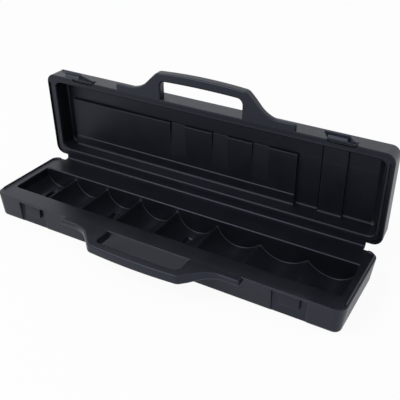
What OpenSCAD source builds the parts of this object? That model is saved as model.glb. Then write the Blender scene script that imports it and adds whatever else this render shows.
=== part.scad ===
// Hard tool case: a moulded double-wall base and lid that fold together along a hinge at the back,
// with two swing latches on the lid, and a carry handle in two mating halves at the front.
// The base lies on z = 0 around the origin. X runs along the case, the hinge is at the back (+Y).
// The lid and its latches are drawn closed, then swung open to where they stand at rest.

/* [Case] */
// Length of the case
case_len = 522; // [500:1:600]
// Depth of the case, without the handle
case_depth = 132; // [130:1:150]
// Height of the base
base_h = 37; // [37:0.5:50]
// Height of the lid
lid_h = 28.5; // [27:0.5:36]
// Corner radius at the rims, seen from above
corner_r = 13; // [12.5:0.5:20]
// How far the base's walls lean in from rim to foot
base_draft = 3.5; // [2:0.1:4]
// How far the lid's walls lean in from rim to outer face
lid_draft = 1; // [0.5:0.1:3]
// Rounding where a wall of the base meets its foot
edge_r = 4; // [2:0.1:5]
// Rounding where a wall of the lid meets its outer face
lid_edge_r = 2.5; // [1.5:0.1:4]
// Thickness of the moulded skins
skin = 2.2; // [1.8:0.1:2.4]
// Gap between the two closed rims
rim_gap = 0.4; // [0.3:0.05:0.8]

/* [Tray] */
// Width of the base's rim at the left end of the pocket
tray_left_rim = 13; // [10:0.5:16]
// Width of the base's rim at the right end of the pocket
tray_right_rim = 11; // [10:0.5:16]
// Width of the front ledge
front_ledge = 26; // [22:0.5:30]
// Width of the back ledge
back_ledge = 33; // [28:0.5:36]
// Number of compartments
troughs = 8; // [8:1:9]
// How much wider each compartment is than the one to its left
trough_step = 1.8; // [0:0.1:2]
// Depth of the first compartment below the rim
first_trough_depth = 26.5; // [25:0.1:27]
// Depth of the last compartment below the rim
last_trough_depth = 32; // [28:0.1:32]
// Thickness of a divider at its top
divider_t = 5; // [4:0.5:8]
// How far each divider's top lies below the rim, from the left
divider_drops = [6, 6, 6, 6, 9, 16, 17];
// Width of a kiss-off pit, where the tray reaches down to the outer skin
pit_w = 8; // [6:0.5:10]
// Length of a kiss-off pit
pit_len = 21; // [16:0.5:26]
// How far the pits lie behind the case's centre line
pit_back = 3; // [0:0.5:6]
// Width of the raised lip at each end of the base
lip_w = 6; // [4:0.5:6.5]
// Height of the raised lip
lip_h = 2.5; // [1.5:0.1:3]

/* [Lid lining] */
// Width of the lid's rim at the left end
lid_left_rim = 12.5; // [12:0.5:17]
// Width of the lid's rim at the right end
lid_right_rim = 8; // [7:0.5:12]
// Width of the lid's front rim
lid_front_rim = 8; // [8:0.5:12]
// Width of the lid's back rim
lid_back_rim = 8.5; // [8:0.5:14]
// Depth of the lid's hollow
lid_hollow = 23.5; // [20:0.1:24]
// Corner radius of the lid's hollow
hollow_r = 12; // [10:0.5:14]
// Height of the raised panel in the lid
panel_h = 5; // [4.5:0.5:6]
// Distance from the hollow's left end to the raised panel
panel_left = 17; // [14:1:40]
// Distance from the hollow's right end to the raised panel
panel_right = 119; // [110:1:130]
// Distance from the hinge axis to the top of the ledge along the panel's foot
ledge_high = 35.5; // [32:0.5:44]
// How far that ledge stands out from the panel
ledge_h = 1.2; // [0.8:0.1:2.5]
// Distance from the hinge axis to the panel's upper edge
panel_high = 97; // [90:1:104]
// Width of the grooves in the panel's upper edge
groove_w = 23; // [16:0.5:26]
// Length of the grooves in the panel's upper edge
groove_len = 30; // [20:1:36]
// Depth of those grooves
groove_d = 4; // [1:0.5:4]
// Distance from the panel's right end to the middle of each groove
groove_at = [53, 114, 181];
// Height of the step beside the panel
step_h = 4; // [2:0.5:5]
// Width of the step beside the panel
step_w = 33; // [24:1:40]
// Distance from the hollow's right end to that step's right side
step_at = 53; // [40:1:60]
// Width of the step at the hollow's right end
end_step_w = 13; // [8:0.5:16]
// Height of the step at the hollow's right end
end_step_h = 7; // [4:0.5:9]

/* [Handle] */
// How far the handle stands out from the front wall
handle_reach = 40.5; // [36:0.5:46]
// How far the middle of the handle's front edge is bowed out
handle_bow = 3; // [1:0.5:5]
// Width of the handle's front edge
handle_w = 134; // [130:1:150]
// Width of the bar that the hand holds, at its middle
bar_w = 12.5; // [9:0.5:14]
// Width of the opening for the fingers
finger_w = 123; // [100:1:124]
// How far the opening's outer edge is bowed out
finger_bow = 1.5; // [0.5:0.5:3]
// Corner radius of that opening
finger_r = 8; // [5:0.5:10]
// Height of one handle half
handle_t = 13; // [9:0.5:15]
// Distance between the outer ends of the handle's two roots
root_span = 269; // [260:1:290]
// Height of one handle half at its roots
root_t = 8; // [6:0.5:9]
// How far the roots stand out from the front wall
root_reach = 9; // [6:0.5:12]
// Radius of the handle's front corners
handle_corner_r = 11; // [6:0.5:14]
// Radius where the handle's flanks run into its roots
flank_r = 38; // [24:1:42]

/* [Hinge] */
// Distance from the base's back wall to the hinge axis
hinge_out = 6; // [5:0.5:8]
// Distance from the end of the case to the end of the hinge
hinge_end = 20; // [16:1:40]
// Thickness of the hinge leaves
leaf_t = 1.7; // [1.2:0.1:2]
// Radius of the bead along the fold
fold_r = 1.1; // [0.8:0.1:1.2]
// How far the lid stands open from closed
lid_open = 87; // [60:1:110]

/* [Latches] */
// Distance from the end of the case to a latch's middle
latch_end = 66.5; // [60:0.5:80]
// Width of a latch
latch_w = 32; // [26:1:33]
// Length of a latch from its pivot to its tip
latch_len = 33; // [31:0.5:34]
// Thickness of a latch's plate
latch_t = 2.2; // [1.8:0.1:2.6]
// Height of a latch's pivot above the closed rims
pivot_h = 4; // [3.6:0.1:5]
// Radius of the barrel around a latch's pin
barrel_r = 2.6; // [2.4:0.1:3]
// Radius of a latch pin
pin_r = 1.2; // [1:0.05:1.4]
// Running clearance of a latch on its pin
pin_run = 0.06; // [0.03:0.01:0.1]
// Clearance of a pin in the lid's lugs
pin_seat = 0.02; // [0.01:0.01:0.05]
// Clearance between a latch and what it swings past
latch_gap = 0.4; // [0.3:0.05:0.6]
// How far a latch stands open from closed
latch_open = 37; // [0:1:110]
// Width of the bay in the base's front wall behind a latch
bay_w = 44.5; // [40:0.5:48]
// Depth of that bay
bay_depth = 6; // [5.5:0.1:7]
// How far below the rim the bay begins
bay_drop = 4; // [3:0.1:5]
// Width of the bay in the lid's front wall around a pivot
lid_bay_w = 36; // [35:0.5:44]
// Height of that bay above the closed rims
lid_bay_h = 10; // [9:0.5:11]
// Width of the catch that a latch hooks under
catch_w = 26; // [16:0.5:28]
// How far below the rim the catch ends
catch_drop = 21; // [18:0.5:22]
// How far the catch's face lies behind the rim
catch_inset = 2.2; // [2:0.1:3]
// Thickness of a latch's hook
hook_t = 2.2; // [1.6:0.1:2.6]

/* [Hidden] */

half_len = case_len / 2;
half_depth = case_depth / 2;
// How far a cutting shape runs past the face that it cuts
over = 1;
// Size of the blocks that trim a shape above or below a height
trim = 2 * case_len;
// Sides of a full circle
round_fn = 64;

// Pocket and compartments
tray_x0 = tray_left_rim - half_len;
tray_x1 = half_len - tray_right_rim;
tray_front = front_ledge - half_depth;
tray_back = half_depth - back_ledge;
first_trough_w = (tray_x1 - tray_x0 - trough_step * troughs * (troughs - 1) / 2) / troughs;
depth_step = (last_trough_depth - first_trough_depth) / (troughs - 1);
pit_troughs = [0, 2, 4];
pit_floor = 2 * skin;

// Lid hollow
hollow_mid_x = (lid_left_rim - lid_right_rim) / 2;
hollow_mid_y = (lid_front_rim - lid_back_rim) / 2;
hollow_half_x = (case_len - lid_left_rim - lid_right_rim) / 2;
hollow_half_y = (case_depth - lid_front_rim - lid_back_rim) / 2;
hollow_draft = 3;
// The hollow's back wall leans in by this much more than its other walls
back_lean = 2;
hollow_edge_r = 5;
lip_room = 0.6;
lip_edge = 2;
lip_cove_end = 350;
lip_chamfer = 0.8;
// The lips run along the straight part of each end
lip_half = half_depth - corner_r;

// Hinge
axis_y = half_depth + hinge_out;
leaf_half = half_len - hinge_end;
leaf_gap = 0.3;

// Latches
latch_x = half_len - latch_end;
pivot_y = -half_depth;
pivot_z = base_h + pivot_h;
// Face of the plate that looks at the case, seen from the pivot
plate_in = -latch_gap;
plate_out = plate_in - latch_t;
latch_play = 0.1;
hook_clear = 1.2;
tip_len = 3;
tip_out = 2;
hook_top = -(pivot_h + catch_drop) - latch_gap - latch_play;
hook_in = bay_depth - hook_clear;
hook_w = catch_w - 2;
rib_w = 1.5;
rib_in = 1.4;
rib_low = hook_top + hook_t;
rib_high = -(pivot_h + bay_drop) - over;
barrel_clear = 0.6;
lid_bay_depth = barrel_r + barrel_clear;
lug_step = 0.2;
lug_r = barrel_r - lug_step;
lug_gap = 0.4;
pin_end_gap = 0.3;
pin_half = lid_bay_w / 2 - pin_end_gap;
catch_slope = 1.5;
catch_slope_len = 7;

case_colour = [0.17, 0.19, 0.22];
lining_colour = [0.13, 0.14, 0.16];
latch_colour = [0.30, 0.33, 0.37];
pin_colour = [0.70, 0.71, 0.73];

// Left side of compartment i, counted from 0; the last index gives the pocket's right end
function trough_x(i) = tray_x0 + i * first_trough_w + trough_step * i * (i - 1) / 2;

// Height of compartment i's floor
function trough_floor(i) = base_h - first_trough_depth - i * depth_step;

// How far divider i's top lies below the rim; dividers past the list repeat its last value
function divider_drop(i) = divider_drops[min(i, len(divider_drops)) - 1];

// Points of an arc from angle a0 to a1
function arc(mid, r, a0, a1, n = 8, first = 0) = [
    for (i = [first : n]) mid + r * [cos(a0 + (a1 - a0) * i / n), sin(a0 + (a1 - a0) * i / n)]
];

function mirrored(points) = [for (i = [len(points) - 1 : -1 : 0]) [-points[i][0], points[i][1]]];

module cut_above(z) {
    translate([-trim / 2, -trim / 2, z]) cube(trim);
}

module cut_below(z) {
    translate([-trim / 2, -trim / 2, z - trim]) cube(trim);
}

// Both sides of the case, where a latch is
module at_latches() {
    for (side = [-1, 1]) translate([side * latch_x, 0, 0]) children();
}

// Swings what is drawn closed to where the lid stands
module swing_lid() {
    translate([0, axis_y, base_h]) rotate([-lid_open, 0, 0]) translate([0, -axis_y, -base_h]) children();
}

// Section of a wall, from its corner's centre: foot at height 0, rim at height h
module wall_section(r_rim, draft, h, round_r) {
    r_foot = r_rim - draft;
    foot = arc([r_foot - round_r, round_r], round_r, -90, 0, 6);
    polygon(concat([[0, 0]], foot, [[r_rim, h], [0, h]]));
}

// Block with leaning walls, round corners and a rounded foot at z = 0
module drafted_block(half_x, half_y, r_rim, draft, h, round_r) {
    mid_x = half_x - r_rim;
    mid_y = half_y - r_rim;
    for (sx = [-1, 1], sy = [-1, 1]) {
        translate([sx * mid_x, sy * mid_y, 0])
            rotate_extrude($fn = round_fn) wall_section(r_rim, draft, h, round_r);
    }
    for (turn = [0, 180]) rotate(turn) {
        translate([mid_x, 0, 0]) rotate([90, 0, 0])
            linear_extrude(2 * mid_y, center = true) wall_section(r_rim, draft, h, round_r);
        translate([0, mid_y, 0]) rotate([90, 0, 90])
            linear_extrude(2 * mid_x, center = true) wall_section(r_rim, draft, h, round_r);
    }
    translate([-mid_x, -mid_y, 0]) cube([2 * mid_x, 2 * mid_y, h]);
}

// Outside of the base, filled
module base_form() {
    drafted_block(half_len, half_depth, corner_r, base_draft, base_h, edge_r);
}

// Space inside the base's outer skin
module base_space() {
    translate([0, 0, skin])
        drafted_block(half_len - skin, half_depth - skin, corner_r - skin, base_draft, base_h, edge_r);
}

// Outside of the closed lid, filled
module lid_form() {
    translate([0, 0, base_h + lid_h]) mirror([0, 0, 1])
        drafted_block(half_len, half_depth, corner_r, lid_draft, lid_h - rim_gap, lid_edge_r);
}

// Space inside the lid's outer skin
module lid_space() {
    translate([0, 0, base_h + lid_h - skin]) mirror([0, 0, 1])
        drafted_block(half_len - skin, half_depth - skin, corner_r - skin, lid_draft, lid_h, lid_edge_r);
}

// Bays in the base's front wall behind the latches, grown by g where the skin follows them
module base_bays(g) {
    at_latches()
        translate([-bay_w / 2 - g, -half_depth - over, -over])
            cube([bay_w + 2 * g, bay_depth + over + g, base_h - bay_drop + over + g]);
}

// Bays in the closed lid's front wall around the pivots, grown by g
module lid_bays(g) {
    at_latches()
        translate([-lid_bay_w / 2 - g, -half_depth - over, base_h - over])
            cube([lid_bay_w + 2 * g, lid_bay_depth + over + g, lid_bay_h + over + g]);
}

// Left and right wall of compartment i, and its middle
function trough_left(i) = trough_x(i) + (i == 0 ? 0 : divider_t / 2);
function trough_right(i) = trough_x(i + 1) - (i == troughs - 1 ? 0 : divider_t / 2);
function trough_mid(i) = (trough_left(i) + trough_right(i)) / 2;

// Height where divider i's rounded top begins
function cap_z(i) = base_h - divider_drop(i) - divider_t / 2;

// Radius of the curve that leaves the floor level and meets a wall rise higher, run away
function curve_r(run, rise) = rise < run ? (run * run + rise * rise) / (2 * rise) : run;

// Curved left half of compartment i's section, grown by g: from its wall down to its middle
function left_curve(i, g) =
    let (
        run = trough_mid(i) - trough_left(i),
        r = curve_r(run, i == 0 ? run : cap_z(i) - trough_floor(i))
    ) arc([trough_mid(i), trough_floor(i) + r], r + g, 180 + acos(run / r), 270);

// Curved right half of compartment i's section, grown by g: from its middle up to its wall
function right_curve(i, g) =
    let (
        run = trough_right(i) - trough_mid(i),
        r = curve_r(run, i == troughs - 1 ? run : cap_z(i + 1) - trough_floor(i))
    ) arc([trough_mid(i), trough_floor(i) + r], r + g, -90, -acos(run / r), first = 1);

// Rounded top of divider i, between the curves on its two sides, grown by g
function divider_cap(i, g) =
    let (
        curve = right_curve(i - 1, g),
        from = curve[len(curve) - 1],
        to = left_curve(i, g)[0],
        steep_from = cap_z(i) - trough_floor(i - 1) >= trough_right(i - 1) - trough_mid(i - 1),
        steep_to = cap_z(i) - trough_floor(i) >= trough_mid(i) - trough_left(i),
        z0 = steep_from ? cap_z(i) : from[1],
        z1 = steep_to ? cap_z(i) : to[1],
        top = cap_z(i) + divider_t / 2 - g
    ) [
        for (a = [180 : -22.5 : 0])
            let (x = (from[0] + to[0]) / 2 + (to[0] - from[0]) / 2 * cos(a), foot = a > 90 ? z0 : z1)
            if ((a < 180 || steep_from) && (a > 0 || steep_to)) [x, foot + (top - foot) * sin(a)]
    ];

// Pocket with all compartments, grown by g
module pocket(g) {
    top = g > 0 ? base_h : base_h + over;
    section = [
        for (i = [0 : troughs - 1])
            each concat(i == 0 ? [] : divider_cap(i, g), left_curve(i, g), right_curve(i, g))
    ];
    translate([0, tray_back + g, 0]) rotate([90, 0, 0]) linear_extrude(tray_back - tray_front + 2 * g)
        polygon(concat([[tray_x0 - g, top]], section, [[tray_x1 + g, top]]));
}

// Pits in the compartments' floors that reach down to the outer skin, grown by g
module pits(g) {
    for (i = pit_troughs)
        translate([
            (trough_x(i) + trough_x(i + 1) - pit_w) / 2 - g,
            pit_back - pit_len / 2 - g,
            pit_floor - g
        ]) cube([pit_w + 2 * g, pit_len + 2 * g, trough_floor(i) + over - pit_floor + g]);
}

// Section of a lip from the middle of a corner, coved on its inner side
module lip_section() {
    cove = arc([corner_r - lip_w, base_h + lip_h], lip_h, 270, lip_cove_end, 6);
    polygon(concat([[corner_r - lip_w, base_h - skin / 2]], cove, [
        [corner_r - lip_edge - lip_chamfer, base_h + lip_h],
        [corner_r - lip_edge, base_h + lip_h - lip_chamfer],
        [corner_r - lip_edge, base_h - skin / 2]
    ]));
}

// Section of the room in the lid for a lip, grown by g
module lip_room_section(g) {
    translate([corner_r - lip_w - lip_room - g, base_h - over])
        square([lip_w - lip_edge + 2 * (lip_room + g), over + lip_h + lip_room + g]);
}

// Runs a section along both ends and round the back corners, longer by extra at both of its own ends
module along_ends(extra) {
    for (side = [0, 1]) mirror([side, 0, 0]) translate([half_len - corner_r, 0, 0]) {
        translate([0, lip_half, 0]) rotate([90, 0, 0]) linear_extrude(2 * lip_half + extra) children();
        translate([0, lip_half, 0]) rotate_extrude(angle = 90, $fn = round_fn) children();
        if (extra > 0) translate([-extra, lip_half, 0]) rotate([90, 0, 90]) linear_extrude(extra) children();
    }
}

module end_lips() {
    along_ends(0) lip_section();
}

module lip_rooms(g) {
    along_ends(lip_room + g) lip_room_section(g);
}

// Raised panel, ledge and steps on the floor of the lid's hollow, and the slope of its back wall;
// g makes them smaller all round
module lid_pads(g) {
    hollow_x0 = lid_left_rim - half_len;
    hollow_x1 = half_len - lid_right_rim;
    floor_z = base_h + lid_hollow + g;
    panel_x0 = hollow_x0 + panel_left;
    panel_x1 = hollow_x1 - panel_right;
    panel_w = panel_x1 - panel_x0 - 2 * g;
    panel_top = axis_y - panel_high;
    panel_z = floor_z - panel_h;
    ledge_y = axis_y - ledge_high + g;
    back_y = half_depth - lid_back_rim + g;
    slope_y = back_y - hollow_draft - back_lean;
    difference() {
        translate([panel_x0 + g, panel_top + g, panel_z])
            cube([panel_w, half_depth - panel_top, panel_h + over]);
        for (x = groove_at)
            translate([panel_x1 - x - groove_w / 2 - g, panel_top - over, panel_z - over])
                cube([groove_w + 2 * g, groove_len + over + g, groove_d + over]);
    }
    translate([panel_x0 + g, ledge_y, panel_z - ledge_h])
        cube([panel_w, half_depth - ledge_y, panel_h + ledge_h + over]);
    translate([hollow_x1 - step_at - step_w + g, -half_depth, floor_z - step_h])
        cube([step_w - 2 * g, case_depth, step_h + over]);
    translate([hollow_x1 - end_step_w + g, -half_depth, floor_z - end_step_h])
        cube([end_step_w, case_depth, end_step_h + over]);
    rotate([90, 0, 90]) linear_extrude(case_len, center = true) polygon([
        [back_y, base_h - over],
        [slope_y, floor_z],
        [slope_y, floor_z + over],
        [back_y + over, floor_z + over],
        [back_y + over, base_h - over]
    ]);
}

// Hollow of the closed lid, grown by g
module lid_cavity(g) {
    difference() {
        translate([hollow_mid_x, hollow_mid_y, base_h + lid_hollow + g]) mirror([0, 0, 1])
            drafted_block(hollow_half_x + g, hollow_half_y + g, hollow_r + g,
                hollow_draft, lid_hollow + over + g, hollow_edge_r + g);
        lid_pads(g);
    }
}

// Radius of an arc that is bowed out by bow over half_w to each side of its middle
function bow_r(half_w, bow) = (half_w * half_w + bow * bow) / (2 * bow);

// Right half of the handle's outer edge seen from above, from the middle of the bar to the root's end
function handle_edge() =
    let (
        front = -half_depth - handle_reach,
        root = -half_depth - root_reach,
        slant = 45,
        flank_x = handle_w / 2,
        flank_y = front + handle_bow,
        flank_end = flank_x + (root - flank_y) / tan(slant),
        r = bow_r(flank_x, handle_bow),
        inner_r = r - handle_corner_r,
        // The corner touches the bowed front edge at this angle from the middle, and the slanted flank
        reach = flank_x * sin(slant) + (front + r - flank_y) * cos(slant) - handle_corner_r,
        turn = slant - acos(reach / inner_r),
        corner_mid = [inner_r * sin(turn), front + r - inner_r * cos(turn)]
    ) concat(
        arc([0, front + r], r, -90, turn - 90),
        arc(corner_mid, handle_corner_r, turn - 90, slant - 90, first = 1),
        arc([flank_end + flank_r * tan(slant / 2), root - flank_r], flank_r, slant + 90, 90, 12),
        [[root_span / 2, root], [root_span / 2, -half_depth + bay_depth]]
    );

// Right half of the edge of the opening for the fingers
function finger_edge() =
    let (
        front = -half_depth - handle_reach + bar_w,
        r = bow_r(finger_w / 2, finger_bow),
        turn = asin((finger_w / 2 - finger_r) / (r - finger_r)),
        corner_mid = [finger_w / 2 - finger_r, front + r - (r - finger_r) * cos(turn)]
    ) concat(
        arc([0, front + r], r, -90, turn - 90),
        arc(corner_mid, finger_r, turn - 90, 0, first = 1),
        [[finger_w / 2, 0]]
    );

// The same points from left to right, with the one in the middle taken once
function both_sides(points) = concat([for (i = [1 : len(points) - 1]) points[i]], mirrored(points));

// Handle half seen from above: a bar on two flared arms
module handle_outline() {
    difference() {
        polygon(both_sides(handle_edge()));
        polygon(both_sides(finger_edge()));
    }
}

// What thins a handle half towards its roots, on the side away from the closed rims at z = 0
module root_cut() {
    slope_x = handle_w / 2 + root_reach;
    for (side = [0, 1]) mirror([side, 0, 0])
        rotate([90, 0, 0]) linear_extrude(case_depth) polygon([
            [slope_x, -handle_t - over],
            [slope_x + root_span / 8, -root_t],
            [root_span / 2 + over, -root_t],
            [root_span / 2 + over, -handle_t - over]
        ]);
}

// Handle half under the plane of the closed rims
module handle_half(gap) {
    difference() {
        translate([0, 0, -handle_t]) linear_extrude(handle_t - gap) handle_outline();
        root_cut();
    }
}

// Section of a latch from its pivot, hanging closed: the barrel, the plate and the turned-out tip
module latch_section() {
    plate_len = latch_len - tip_len;
    circle(barrel_r, $fn = round_fn);
    translate([plate_out, -plate_len]) square([latch_t, plate_len]);
    polygon([
        [plate_out, -plate_len],
        [plate_in, -plate_len],
        [plate_in - tip_out, -latch_len],
        [plate_out - tip_out, -latch_len]
    ]);
}

// Latch around its pivot, hanging closed
module latch() {
    difference() {
        rotate([90, 0, 90]) linear_extrude(latch_w, center = true) latch_section();
        rotate([0, 90, 0]) cylinder(r = pin_r + pin_run, h = latch_w + 2 * over, center = true, $fn = 48);
    }
    translate([-hook_w / 2, plate_in, hook_top - hook_t]) cube([hook_w, hook_in - plate_in, hook_t]);
    for (side = [0, 1]) mirror([side, 0, 0])
        translate([latch_w / 2 - rib_w, plate_in, rib_low]) cube([rib_w, rib_in - plate_in, rib_high - rib_low]);
}

module place_latch(side) {
    swing_lid() translate([side * latch_x, pivot_y, pivot_z]) children();
}

// Lugs on the closed lid that hold the latch pins
module pin_lugs() {
    lug_w = (lid_bay_w - latch_w) / 2 - lug_gap;
    at_latches() for (side = [0, 1]) mirror([side, 0, 0])
        translate([lid_bay_w / 2 - lug_w, pivot_y, pivot_z]) difference() {
            union() {
                rotate([0, 90, 0]) cylinder(r = lug_r, h = lug_w, $fn = round_fn);
                translate([0, 0, -lug_r]) cube([lug_w, lid_bay_depth, 2 * lug_r]);
            }
            translate([-over, 0, 0]) rotate([0, 90, 0])
                cylinder(r = pin_r + pin_seat, h = lug_w + over, $fn = 48);
        }
}

// Catch in a base bay: a block with a sloping top that the latch's hook rides over
module catch_block() {
    top = base_h - bay_drop;
    low = base_h - catch_drop;
    back = -half_depth + bay_depth;
    face = -half_depth + catch_inset;
    rotate([90, 0, 90]) linear_extrude(catch_w, center = true)
        polygon([[back, low], [face, low], [face, top - catch_slope_len], [face + catch_slope, top], [back, top]]);
}

module latch_pin() {
    rotate([0, 90, 0]) cylinder(r = pin_r, h = 2 * pin_half, center = true, $fn = 48);
}

// Outer wall and floor of the base
module base_outer_shell() {
    color(case_colour) difference() {
        base_form();
        difference() {
            base_space();
            base_bays(skin);
        }
        base_bays(0);
        cut_above(base_h - skin);
    }
}

// Inner wall of the base: the rim's flat top, the compartments and the end lips
module base_inner_tray() {
    color(case_colour) difference() {
        union() {
            intersection() {
                base_form();
                cut_above(base_h - skin);
            }
            end_lips();
            pocket(skin);
            pits(skin);
        }
        pocket(0);
        pits(0);
    }
}

module base_handle_half() {
    color(case_colour) difference() {
        translate([0, 0, base_h]) handle_half(0);
        base_form();
    }
}

module catch_left() {
    color(case_colour) translate([-latch_x, 0, 0]) catch_block();
}

module catch_right() {
    color(case_colour) translate([latch_x, 0, 0]) catch_block();
}

// Leaf between the base's back wall and the fold
module hinge_leaf_base() {
    color(case_colour) difference() {
        translate([-leaf_half, half_depth - base_draft, base_h - leaf_t])
            cube([2 * leaf_half, hinge_out + base_draft - leaf_gap, leaf_t]);
        base_form();
        translate([0, axis_y, base_h]) rotate([0, 90, 0])
            cylinder(r = fold_r, h = trim, center = true, $fn = 32);
    }
}

// Bead along the fold, on the hinge axis
module hinge_fold() {
    color(case_colour) translate([0, axis_y, base_h]) rotate([0, 90, 0])
        cylinder(r = fold_r, h = 2 * leaf_half, center = true, $fn = 32);
}

// Leaf between the fold and the lid's back wall
module hinge_leaf_lid() {
    color(case_colour) swing_lid() difference() {
        translate([-leaf_half, half_depth - lid_draft, base_h + rim_gap])
            cube([2 * leaf_half, hinge_out + lid_draft - leaf_gap, leaf_t]);
        lid_form();
        translate([0, axis_y, base_h]) rotate([0, 90, 0])
            cylinder(r = fold_r + leaf_gap, h = trim, center = true, $fn = 32);
    }
}

// Outer wall and top of the lid, with the lugs for the latch pins
module lid_outer_shell() {
    color(case_colour) swing_lid() {
        difference() {
            lid_form();
            difference() {
                lid_space();
                lid_bays(skin);
            }
            lid_bays(0);
            lip_rooms(skin);
            cut_below(base_h + rim_gap + skin);
        }
        pin_lugs();
    }
}

// Inner wall of the lid: the rim, the hollow and its raised panel
module lid_inner_panel() {
    color(lining_colour) swing_lid() difference() {
        intersection() {
            lid_form();
            union() {
                cut_below(base_h + rim_gap + skin);
                lid_cavity(skin);
                lip_rooms(skin);
            }
        }
        lid_cavity(0);
        lip_rooms(0);
        lid_bays(0);
    }
}

module lid_handle_half() {
    color(case_colour) swing_lid() difference() {
        translate([0, 0, base_h]) mirror([0, 0, 1]) handle_half(rim_gap);
        lid_form();
    }
}

module latch_left() {
    color(latch_colour) place_latch(-1) rotate([-latch_open, 0, 0]) latch();
}

module latch_right() {
    color(latch_colour) place_latch(1) rotate([-latch_open, 0, 0]) latch();
}

module latch_pin_left() {
    color(pin_colour) place_latch(-1) latch_pin();
}

module latch_pin_right() {
    color(pin_colour) place_latch(1) latch_pin();
}

base_outer_shell();
base_inner_tray();
base_handle_half();
catch_left();
catch_right();
hinge_leaf_base();
hinge_fold();
hinge_leaf_lid();
lid_outer_shell();
lid_inner_panel();
lid_handle_half();
latch_left();
latch_right();
latch_pin_left();
latch_pin_right();
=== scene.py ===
"""Visual model of a hard tool case: a moulded base and lid that fold along a hinge, a carry handle in two
mating halves, and two swing latches on steel pins. Sizes are in millimetres until a mesh is made.
The lid and its latches are drawn closed, then swung to where they stand at rest."""

import bmesh
import bpy
from math import acos, asin, ceil, cos, degrees, pi, radians, sin, sqrt, tan
from mathutils import Matrix, Vector


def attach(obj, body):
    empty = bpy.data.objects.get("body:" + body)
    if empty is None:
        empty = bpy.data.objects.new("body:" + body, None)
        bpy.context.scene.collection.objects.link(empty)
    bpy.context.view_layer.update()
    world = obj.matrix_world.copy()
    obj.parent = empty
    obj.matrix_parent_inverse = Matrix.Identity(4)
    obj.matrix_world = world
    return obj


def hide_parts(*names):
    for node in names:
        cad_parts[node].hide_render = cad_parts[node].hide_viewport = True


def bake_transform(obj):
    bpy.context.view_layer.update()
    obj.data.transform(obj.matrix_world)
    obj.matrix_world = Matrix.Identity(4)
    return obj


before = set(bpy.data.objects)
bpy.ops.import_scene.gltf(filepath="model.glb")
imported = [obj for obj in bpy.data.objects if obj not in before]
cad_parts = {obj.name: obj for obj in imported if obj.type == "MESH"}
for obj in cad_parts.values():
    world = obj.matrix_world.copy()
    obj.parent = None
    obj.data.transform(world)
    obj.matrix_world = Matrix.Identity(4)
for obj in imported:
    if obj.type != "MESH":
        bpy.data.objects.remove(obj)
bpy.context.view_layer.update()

MM = 0.001

# Case: drafts are what a wall leans in all, from its rim to its foot
HALF_X = 261.0
HALF_Y = 66.0
BASE_H = 37.0
LID_H = 28.5
RIM_GAP = 0.4  # between the rims when closed
CORNER_R = 13.0
CORNER_STEPS = 14
BASE_DRAFT = 3.5
LID_DRAFT = 1.0
EDGE_R = 4.0
LID_EDGE_R = 2.5
SKIN = 2.2  # of the walls, and how far tray and lining come down round the rims
RIM_ROUND = 1.3
LID_RIM_H = LID_H - RIM_GAP

# Hinge: the axis behind the case, and the moulded fold that bends round it
AXIS_GAP = 6.0  # from the back wall to the axis
AXIS_Y = HALF_Y + AXIS_GAP
LID_OPEN = 87.0  # at rest, in degrees from closed
HINGE_END = 20.0  # from the end of the case to the end of the fold
HINGE_HALF = HALF_X - HINGE_END
LEAF_T = 1.7
FOLD_T = 1.0  # thinnest, in the bend
FOLD_BASE_ROOT = -1.2  # points of the flat parts, counted from the back wall
FOLD_LID_ROOT = -0.4
FOLD_FLAT = 1.5
FOLD_START = 3.2
FOLD_BEND = (0.55, -0.45)  # control point of the bend, from the axis
FOLD_PARTS = 8
FOLD_END = 0.6  # a narrow band at each end

# Tray: the flat rims round it, its compartments (troughs), the pits in three of them, and the end lips
TRAY_LEFT_RIM = 13.0
TRAY_RIGHT_RIM = 11.0
TRAY_FRONT_RIM = 26.0
TRAY_BACK_RIM = 33.0
TRAY_X0 = TRAY_LEFT_RIM - HALF_X
TRAY_X1 = HALF_X - TRAY_RIGHT_RIM
TRAY_Y0 = TRAY_FRONT_RIM - HALF_Y
TRAY_Y1 = HALF_Y - TRAY_BACK_RIM
TRAY_R = 5.0
TRAY_ROUNDS = (2.0, 1.0, 1.3)  # radius of the rim, lean of the walls, radius at their foot
TRAY_MARGIN = 8.0  # from the sides to the floor's grid
TROUGHS = 8
TROUGH_STEP = 1.8  # each is this much wider than the one before
FIRST_DEPTH = 26.5
LAST_DEPTH = 32.0
DIVIDER_T = 5.0
DIVIDER_DROPS = (6, 6, 6, 6, 9, 16, 17)  # tops of the dividers below the rim
DIVIDER_ROUND = 4.0
PIT_W = 8.0
PIT_LEN = 21.0
PIT_BACK = 3.0  # behind the middle of the case
PIT_TROUGHS = (0, 2, 4)
PIT_FLOOR = 2 * SKIN  # height of its floor
PIT_RUN = 3.5  # width over which its walls slope
LIP_W = 6.0  # from the case's edge to the lip's inner foot
LIP_H = 2.5
LIP_EDGE = 2.0  # from the case's edge to the lip's outer side
LIP_SINK = 0.8  # below the rim
LIP_LOW_START = 0.45  # share of its height at the front end
# Points round the lip's outer edge: how far in, and how far below its top
LIP_EDGE_ROUND = ((1.6, 0.0), (0.7, 0.25), (0.15, 0.9), (0.0, 1.4))
LIP_START_ANGLE = 2.2  # degrees of the corner over which the lid makes room
LIP_ROOM = 0.6  # over the lip when closed
# Rings of the room in the lid's rim: how far in, and share of the depth
LIP_ROOM_RINGS = ((1.45, 0.0), (1.6, 0.9), (1.9, 1.0), (6.0, 1.0), (6.35, 0.9), (6.5, 0.1), (6.6, 0.0))

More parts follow.
